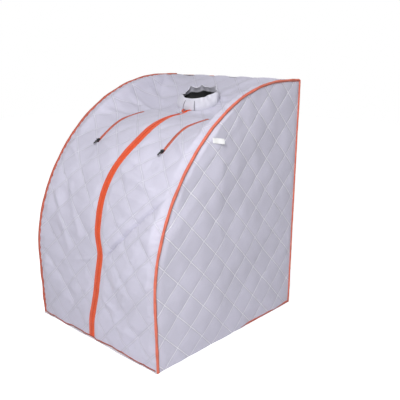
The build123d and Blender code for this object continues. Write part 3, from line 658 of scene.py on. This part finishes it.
roof_rows = skin_rows(SPLIT, 6.0)
verts_all, faces_all, uvs_all, so_far = [], [], [], 0
for s in (-1, 1):
    points, uvs = half_skin(s, roof_rows, columns, fork)
    rel = points - NECK_O
    px, py = rel @ NECK_X, rel @ NECK_Y
    across = np.where(py > 0, HOLE_REAR, HOLE_FRONT)
    ring = np.sqrt((px / HOLE_X) ** 2 + (py / across) ** 2)
    keep = ring > 1
    # the cloth inside the hole is drawn out to its edge, so the edge is smooth
    shift = np.where(keep, 0.0, 1 / np.maximum(ring, 0.2) - 1)
    points = points + (px * shift)[..., None] * NECK_X + (py * shift)[..., None] * NECK_Y
    verts, faces = grid(points, flip=s < 0, offset=so_far, keep=keep)
    verts_all.append(verts)
    faces_all.append(faces)
    uvs_all.append(uvs)
    so_far += len(verts)
verts, faces, uvs = drop_loose(*map(np.concatenate, (verts_all, faces_all, uvs_all)))
roof = make_mesh("roof", verts, faces, uvs, [cloth_front, lining])
merge(roof, 2e-5)
shell(roof, CLOTH_THICK)
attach(roof, TENT)
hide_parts("roof_panel")


# ------------------------------------------------------------------ side, back and floor cloths
SIDE_PHASE = -0.131
SIDE_FOLD_Y = -0.09  # the side walls stand out most along this line
PORT_Y, PORT_Z, PORT_CUT = 0.23, 0.13, 0.0225


def side_relief(y, z, s):
    """Height of a side wall's cloth over its plane."""
    quilt = 0.0040 * puff(y, z, SIDE_PHASE, 0.0)
    behind = np.exp(-(y - SIDE_FOLD_Y) / 0.11)
    fold = np.where(y < SIDE_FOLD_Y, smooth(-0.40, SIDE_FOLD_Y, y), behind) * 0.013
    fold = fold * smooth(0.0, 0.15, z) * smooth(0.98, 0.75, z)
    waves = 0.0020 * ripples(y, z, 21 if s > 0 else 22, 0.22) + 0.0007 * ripples(y, z, 31, 0.07)
    if s > 0:
        waves = waves + ridge(y, z, (-0.36, 0.46), (-0.20, 0.62), 0.0020, 0.02)
        waves = waves + ridge(y, z, (-0.20, 0.70), (0.02, 0.86), 0.0020, 0.02)
    return quilt + fold + waves


def side_cloth(side, s):
    lengths_up = np.linspace(0.0036, TOTAL_L - TOP_FLAT, 200)
    yf = np.interp(lengths_up, ARCH_L, ARCH[:, 0])
    zf = np.interp(lengths_up, ARCH_L, ARCH[:, 1])
    c = np.linspace(0, 1, 112)
    y = yf[:, None] + (0.399 - yf[:, None]) * c[None, :]
    z = np.broadcast_to(zf[:, None], y.shape)
    # distance to the sewn edges keeps the cloth in its bindings
    edge = smooth(0, 0.030, np.minimum(y - yf[:, None], 0.4 - y)) * smooth(0.0, 0.03, 0.985 - z)
    x = s * (HALF - 0.0006 + side_relief(y, z, s) * edge)
    points = np.stack([x, y, z], axis=-1)
    uvs = np.stack([y + SIDE_PHASE, z], axis=-1).reshape(-1, 2)
    has_port = side == "left"
    keep = (y - PORT_Y) ** 2 + (z - PORT_Z) ** 2 > PORT_CUT ** 2 if has_port else None
    verts, faces = grid(points, flip=s < 0, keep=keep)
    if has_port:
        verts, faces, uvs = drop_loose(verts, faces, uvs)
    cloth = make_mesh(f"side_{side}", verts, faces, uvs, [cloth_side, lining])
    shell(cloth, CLOTH_THICK)
    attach(cloth, TENT)
    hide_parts(f"side_wall_{side}")


for side, s in SIDES.items():
    side_cloth(side, s)

BACK_X = 0.3445
z = np.linspace(0.0036, 0.979, 150)[:, None]
x = np.linspace(-BACK_X, BACK_X, 106)[None, :]
edge = smooth(0, 0.03, BACK_X - np.abs(x)) * smooth(0, 0.03, z) * smooth(0, 0.03, 0.98 - z)
y = 0.3995 + edge * (0.0028 * puff(x, z, 0.01, 0.0) + 0.003 * ripples(x, z, 41, 0.25))
points = np.stack([x + 0 * z, y, z + 0 * x], axis=-1)
verts, faces = grid(points, flip=True)
uvs = np.stack([x + 0 * z, z + 0 * x], -1).reshape(-1, 2)
back = make_mesh("back", verts, faces, uvs, [cloth_plain, lining])
shell(back, CLOTH_THICK)
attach(back, TENT)
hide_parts("back_wall")

y = np.linspace(-0.408, 0.400, 120)[:, None]
x = np.linspace(-0.350, 0.350, 100)[None, :]
front_lip = smooth(-0.375, -0.405, y)
z = 0.0030 + 0.0006 * ripples(x, y, 51, 0.12) * (1 - front_lip) - 0.0006 * (1 + np.sin(x * 55)) * front_lip
y2 = y + 0.0016 * np.sin(x * 23 + 1.0) * front_lip
points = np.stack([x + 0 * y, y2 + 0 * x, z + 0 * (x + y)], axis=-1)
verts, faces = grid(points)
uvs = np.stack([x + 0 * y, y + 0 * x], -1).reshape(-1, 2)
floor_sheet = make_mesh("floor_sheet_cloth", verts, faces, uvs, [floor_cloth, floor_cloth])
shell(floor_sheet, 0.0017, 0)
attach(floor_sheet, TENT)
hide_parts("floor_sheet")


# ------------------------------------------------------------------ zips
TAPE_LIFT, TAPE_EDGE_LIFT = 0.0012, 0.0006


def tape(name, s, v0, v1, inner, outer, line, material, nodes, spread=None):
    """Strip beside a zip line, over the skin; its outer edge follows tape_half if outer is None."""
    v = skin_rows(v0, v1, 0.005)[:, None]
    length = cloth_length(np.zeros_like(v), v)
    a, b = inner, tape_half(length) if outer is None else outer
    if spread is not None:
        shift = spread(v)
        a, b = a + shift, b + shift
    cols = np.linspace(0, 1, 7)[None, :]
    lift = TAPE_LIFT + (TAPE_EDGE_LIFT - TAPE_LIFT) * cols ** 2
    points, _ = surface(line(length) + s * (a + (b - a) * cols), v, lift=lift)
    uvs = np.stack([0.5 + 0.5 * (cols + 0 * v), length + 0 * cols], axis=-1).reshape(-1, 2)
    verts, faces = grid(points, flip=s < 0)
    obj = make_mesh(name, verts, faces, uvs, [material])
    shell(obj, 0.0009, 0)
    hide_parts(*nodes)
    return obj


def coil(name, s, v0, v1, line, centre, radius, pitch, material, nodes, spread=None,
         lift=0.0022):
    """Half of a zip's coil: a run of rounded loops beside the zip line."""
    v = skin_rows(v0, v1, pitch / 4)
    length = cloth_length(np.zeros_like(v), v)
    x_mid = line(length) + s * centre
    if spread is not None:
        x_mid = x_mid + s * spread(v)
    points, normals = surface(x_mid, v, lift=lift)
    phase = np.arange(len(v)) * np.pi / 2
    taper = 1.0 + 0.16 * np.sin(phase)
    angles = np.linspace(0, 2 * np.pi, 8, endpoint=False)
    ring = [(radius * math.cos(a), radius * 0.62 * math.sin(a)) for a in angles]
    obj = tube(name, points, normals, ring, [material], taper=taper)
    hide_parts(*nodes)
    return obj


def hold(obj, s, with_door):
    if with_door:
        door_blend(obj, s)
    else:
        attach(obj, TENT)


HAND_L = [0.0, 0.795, 0.840, 0.890, 0.945, 0.990, 1.020, 1.100]
HAND_WAVE = {"left": [0.0, 0.0, -0.001, -0.006, -0.012, -0.006, 0.0, 0.0],
             "right": [0.0, 0.0, -0.002, -0.009, -0.015, -0.008, 0.0, 0.0]}
ZIP_TOP = float(np.interp(0.1085, DIP[3 * SAMPLES + 3:, 0], PARAM[3 * SAMPLES + 3:]))
HEM_V = float(param_at(HEM_L + 0.003))
for side, s in SIDES.items():
    hold(tape(f"zip_tape_{side}", s, HEM_V, SPLIT, 0.0004, None, zip_line, tape_cloth,
              [f"door_zip_tape_{side}"]), s, True)
    hold(coil(f"zip_coil_{side}", s, HEM_V, SPLIT, zip_line, 0.0014, 0.0017, 0.004, coil_plastic,
              [f"door_zip_coil_{side}"]), s, True)
    hold(tape(f"roof_zip_tape_{side}", s, SPLIT, ZIP_TOP, 0.0004, None, zip_line, tape_cloth,
              ["roof_zip_tape"], spread=fork_spread), s, False)
    hold(coil(f"roof_zip_coil_{side}", s, SPLIT, ZIP_TOP, zip_line, 0.0014, 0.0017, 0.004, coil_plastic,
              ["roof_zip_coil"], spread=fork_spread), s, False)
    def hand_line(length, s=s):
        return s * HAND_X + soft_interp(length, HAND_L, HAND_WAVE[side])

    v0, v1 = param_dip(39.6), param_dip(5.4)
    for part_s in (-1, 1):
        tag = "in" if part_s * s < 0 else "out"
        hold(tape(f"hand_zip_tape_{side}_{tag}", part_s, v0, v1, 0.0003, 0.0072, hand_line, binding_cloth,
                  [f"hand_zip_{side}_tape"]), s, False)
        hold(coil(f"hand_zip_coil_{side}_{tag}", part_s, v0, v1, hand_line, 0.0009, 0.0009, 0.003,
                  hand_coil, [f"hand_zip_{side}_coil"], lift=0.0017), s, False)


# ------------------------------------------------------------------ bindings
def bead(radius, n=14):
    """The round profile of a binding."""
    return [(radius * math.cos(a), radius * math.sin(a)) for a in np.linspace(0, 2 * np.pi, n, endpoint=False)]


def arch_binding(side, s):
    ls = np.linspace(0.0038, TOTAL_L - 0.006, 420)
    y, z = np.interp(ls, ARCH_L, ARCH[:, 0]), np.interp(ls, ARCH_L, ARCH[:, 1])
    h = np.radians(np.interp(ls, ARCH_L, ARCH[:, 2]))
    wobble = 0.0007 * ripples(ls, 0 * ls, 61 + int(s), 0.10)
    out = np.stack([0 * ls, -np.sin(h), np.cos(h)], axis=-1)
    path = np.stack([s * (HALF - 0.0005) + 0 * ls, y, z], axis=-1) + out * wobble[:, None]
    diagonal = out + np.array([s, 0, 0])
    diagonal /= np.linalg.norm(diagonal, axis=1, keepdims=True)
    taper = 1.0 + 0.06 * ripples(ls, 0 * ls, 71, 0.05)
    path[:, 2] = np.maximum(path[:, 2], 0.0040)
    obj = tube(f"binding_arch_{side}", path, diagonal, bead(0.0054), [binding_cloth], taper=taper)
    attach(obj, TENT)
    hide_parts(f"arch_binding_{side}")


def line_binding(name, a, b, up_dir, radius, node, seed, wobble=0.0006):
    a, b = np.array(a, float), np.array(b, float)
    n = max(20, int(np.linalg.norm(b - a) / 0.006))
    t = np.linspace(0, 1, n)[:, None]
    path = a + (b - a) * t
    along = t[:, 0] * np.linalg.norm(b - a)
    up_dir = np.array(up_dir, float)
    path = path + up_dir * (wobble * ripples(along, 0 * along, seed, 0.12))[:, None]
    obj = tube(name, path, np.tile(up_dir, (n, 1)), bead(radius), [binding_cloth],
               taper=1 + 0.05 * ripples(along, 0 * along, seed + 1, 0.05))
    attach(obj, TENT)
    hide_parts(node)


for side, s in SIDES.items():
    arch_binding(side, s)
    line_binding(f"binding_rear_{side}", (s * 0.3495, 0.3995, 0.0042), (s * 0.3495, 0.3995, 0.981), (0, 1, 0),
                 0.0045, f"rear_binding_{side}", seed=81)
    line_binding(f"binding_foot_{side}", (s * 0.3505, 0.057, 0.0083), (s * 0.3505, 0.396, 0.0083), (0, 0, 1),
                 0.0042, f"foot_binding_{side}", seed=83)
line_binding("binding_top_rear", (-0.345, 0.4003, 0.9757), (0.345, 0.4003, 0.9757), (0, 0, 1), 0.0042,
             "rear_top_binding", seed=85, wobble=0.0012)

for side, s in SIDES.items():
    v = np.full(70, param_at(HEM_L))
    x = np.linspace(0.0008, EDGE_X - 0.006, 70) * s
    x = zip_line(HEM_L) + x * (1 - zip_line(HEM_L) / (s * EDGE_X))
    points, normals = surface(x, v)
    points[:, 2] = 0.0062 + 0.0035 * np.sin(np.pi * np.abs(x) / EDGE_X) * (0.6 + 0.4 * np.sin(x * 40))
    hem = tube(f"hem_{side}", points, np.tile([0.0, 0.0, 1.0], (len(points), 1)), bead(0.0022, 10), [hem_cloth])
    door_blend(hem, s)
    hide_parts(f"door_hem_{side}")


# ------------------------------------------------------------------ neck collar
COLLAR_A, COLLAR_B, COLLAR_TOP, COLLAR_FOOT = 0.0945, 0.0735, 0.049, -0.010


def bump_at(theta, centre, width, power=2):
    """1 at an angle, falling to 0 on both sides of it."""
    return np.exp(-np.abs(np.angle(np.exp(1j * (theta - centre))) / width) ** power)


def collar_point(theta, h, lift=0.0):
    """Point of the gathered collar; theta 0 to the right, 90 degrees to the rear; h 0..1 up the collar."""
    front = bump_at(theta, -np.pi / 2 + 0.1, 0.85, 4)
    gather = 1 - 0.85 * front
    wave = (np.sin(8 * theta + 1.1 * np.sin(3 * theta)) + 0.6 * np.sin(13 * theta + 1.3)
            + 0.35 * np.sin(21 * theta + 0.4))
    amp = (0.0002 + 0.0042 * h ** 1.6) * gather
    corner = bump_at(theta, 0.28, 0.24)
    back_left = bump_at(theta, 2.45, 0.24) + 0.75 * bump_at(theta, 1.80, 0.20)
    back_right = bump_at(theta, 1.00, 0.22)
    closing = 1 - 0.95 * smooth(-0.1, 0.6, np.sin(theta))
    bulge = 0.010 * np.sin(np.pi * np.clip(h, 0, 1)) * (1 - 0.9 * front)
    a = COLLAR_A + bulge - 0.026 * h ** 3 * closing + 0.014 * corner * smooth(0.4, 1.0, h)
    b = COLLAR_B - 0.0035 * front + 0.6 * bulge - 0.024 * h ** 3 * closing
    top = (COLLAR_TOP - 0.002 * smooth(-0.5, 1.0, np.sin(theta)) + 0.010 * back_left + 0.008 * back_right
           + 0.005 * corner + 0.0010 * wave * gather * h)
    inward = 0.008 * back_left * h ** 2
    height = COLLAR_FOOT + (top - COLLAR_FOOT) * h
    px = (a - inward + amp * wave + lift) * np.cos(theta) + 0.006 * h ** 2
    py = (b - inward + amp * wave + lift) * np.sin(theta) + 0.003 * h ** 2
    return NECK_O + px[..., None] * NECK_X + py[..., None] * NECK_Y + height[..., None] * NECK_N


theta = np.linspace(0, 2 * np.pi, 300, endpoint=False)
levels = np.linspace(0, 1, 26)
points = collar_point(theta[None, :] + 0 * levels[:, None], levels[:, None] + 0 * theta[None, :])
uvs = np.stack([theta[None, :] / (2 * np.pi) + 0 * levels[:, None],
                0.06 * levels[:, None] + 0 * theta[None, :]], -1)
verts, faces = grid(points, wrap=True)
collar = make_mesh("collar", verts, faces, uvs.reshape(-1, 2), [collar_cloth, collar_inside])
shell(collar, 0.0022)
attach(collar, TENT)
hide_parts("neck_collar")

theta = np.linspace(-np.pi / 2 - 0.235, -np.pi / 2 + 0.40, 40)
levels = np.linspace(0.34, 0.86, 16)
points = collar_point(theta[None, :] + 0 * levels[:, None], levels[:, None] + 0 * theta[None, :], lift=0.0030)
verts, faces = grid(points)
uvs = np.stack([0 * levels[:, None] + 0.5 + 0 * theta[None, :],
                0.08 * theta[None, :] + 0 * levels[:, None]], -1)
tab = make_mesh("collar_flap_tab", verts, faces, uvs.reshape(-1, 2), [collar_cloth, dark_enamel])
shell(tab, 0.0016)
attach(tab, "collar_flap")
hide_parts("collar_tab")

# painted shadow: thin dark strips along the tab's left and right edges stand for the shadow gaps under them
for tag, edge_theta in (("left", theta[0]), ("right", theta[-1])):
    levels = np.linspace(0.30, 0.90, 24)
    path = collar_point(edge_theta + 0 * levels, levels, lift=0.0042)
    out = np.array([math.cos(edge_theta), math.sin(edge_theta) * NECK_Y[1], math.sin(edge_theta) * NECK_Y[2]])
    shadow_strip = tube(f"collar_flap_edge_shadow_{tag}", path, np.tile(out, (24, 1)), bead(0.0011, 8), [painted_shadow])
    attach(shadow_strip, "collar_flap")

# ------------------------------------------------------------------ blank tag
TAG_Y, TAG_Z = -0.1515, 0.8045
u = np.linspace(0, 1, 20)[None, :]
w = np.linspace(0, 1, 9)[:, None]
y = TAG_Y + 0.004 + 0.052 * u + 0.004 * (1 - w)
z = TAG_Z - 0.020 * (1 - w) - 0.009 * u
curl = 0.0065 * u ** 2
x = HALF + 0.0020 + side_relief(y + 0 * w, z + 0 * u, 1.0) + curl + 0.0008 * np.sin(9 * u + w)
points = np.stack([x + 0 * w, y + 0 * w, z + 0 * u], axis=-1)
verts, faces = grid(points)
uvs = np.stack([u + 0 * w, 0.02 * w + 0 * u], -1).reshape(-1, 2)
tag = make_mesh("blank_tag", verts, faces, uvs, [label_cloth])
shell(tag, 0.0008, 0)
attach(tag, TENT)
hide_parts("side_label")

# ------------------------------------------------------------------ finishes of the CAD nodes that show
for name, node in NODES.items():
    if "corner" in name:
        look = socket_plastic
    elif name.startswith(("rear_post", "side_rail", "arch_rod")) or name.endswith("_bar"):
        look = pole_paint
    elif name.startswith("main_zip"):
        look = nickel
    elif name.startswith(("hand_zip_slider", "hand_zip_pull")):
        look = dark_enamel
    elif name.startswith("steam_port"):
        look = port_plastic
    else:
        continue
    for material_slot in node.material_slots:
        material_slot.material = look

# ------------------------------------------------------------------ stage, light and camera
GROUND_GLOW = 0.72  # how bright the ground is to the camera only
WORLD_LIGHT, WORLD_SEEN = 0.27, 1.0  # strength of the surroundings as light and as seen
LENS, SENSOR = 50.66, 36.0
CAMERA_AT = (1.62827, -1.58995, 1.09268)
# name, location, target, size, power
LIGHTS = [
    ("key", (1.20, -1.75, 1.95), (0.1, 0, 0.45), 0.6, 46),
    ("top", (-0.2, -0.6, 3.6), (0, 0, 0.5), 2.2, 12),
    ("side_fill", (3.0, -0.2, 1.7), (0.3, 0, 0.4), 1.2, 10),
]
bpy.ops.mesh.primitive_plane_add(size=14, location=(0, 0, 0))
ground = bpy.context.object
ground.name = "ground"
g = Nodes("ground")
path = g.add("ShaderNodeLightPath")
seen = g.math("MAXIMUM", path.outputs["Is Camera Ray"],
              g.math("MAXIMUM", path.outputs["Is Glossy Ray"], path.outputs["Is Transmission Ray"]))
g.bsdf.inputs["Base Color"].default_value = (0.86, 0.86, 0.87, 1)
g.bsdf.inputs["Roughness"].default_value = 0.9
g.bsdf.inputs["Emission Color"].default_value = (1, 1, 1, 1)
g.link(g.math("MULTIPLY", seen, GROUND_GLOW), g.bsdf.inputs["Emission Strength"])
ground.data.materials.append(g.material)

world = bpy.data.worlds.new("studio")
bpy.context.scene.world = world
world.use_nodes = True
nodes, links = world.node_tree.nodes, world.node_tree.links
background = nodes["Background"]
light_path = nodes.new("ShaderNodeLightPath")
either, any_seen = nodes.new("ShaderNodeMath"), nodes.new("ShaderNodeMath")
either.operation = any_seen.operation = "MAXIMUM"
strength = nodes.new("ShaderNodeMapRange")
links.new(light_path.outputs["Is Camera Ray"], either.inputs[0])
links.new(light_path.outputs["Is Glossy Ray"], either.inputs[1])
links.new(either.outputs[0], any_seen.inputs[0])
links.new(light_path.outputs["Is Transmission Ray"], any_seen.inputs[1])
links.new(any_seen.outputs[0], strength.inputs[0])
strength.inputs[3].default_value = WORLD_LIGHT
strength.inputs[4].default_value = WORLD_SEEN
links.new(strength.outputs[0], background.inputs["Strength"])
background.inputs["Color"].default_value = (1, 1, 1, 1)


def area(name, location, target, size, power):
    """A square light at a place, aimed at another."""
    data = bpy.data.lights.new(name, "AREA")
    data.shape = "SQUARE"
    data.size = size
    data.energy = power
    obj = bpy.data.objects.new(name, data)
    bpy.context.scene.collection.objects.link(obj)
    obj.location = location
    obj.rotation_euler = (Vector(target) - Vector(location)).to_track_quat("-Z", "Y").to_euler()


for light in LIGHTS:
    area(*light)

camera_data = bpy.data.cameras.new("camera")
camera_data.sensor_width = SENSOR
camera_data.lens = LENS
camera = bpy.data.objects.new("camera", camera_data)
bpy.context.scene.collection.objects.link(camera)
RIGHT, UP = Vector((0.73619, 0.67671, 0.00951)), Vector((-0.18068, 0.18297, 0.96637))
BACK = -Vector((-0.65221, 0.71316, -0.25697))
camera.matrix_world = Matrix.Translation(CAMERA_AT) @ Matrix((RIGHT, UP, BACK)).transposed().to_4x4()
bpy.context.scene.camera = camera
bpy.context.scene.view_settings.view_transform = "Standard"
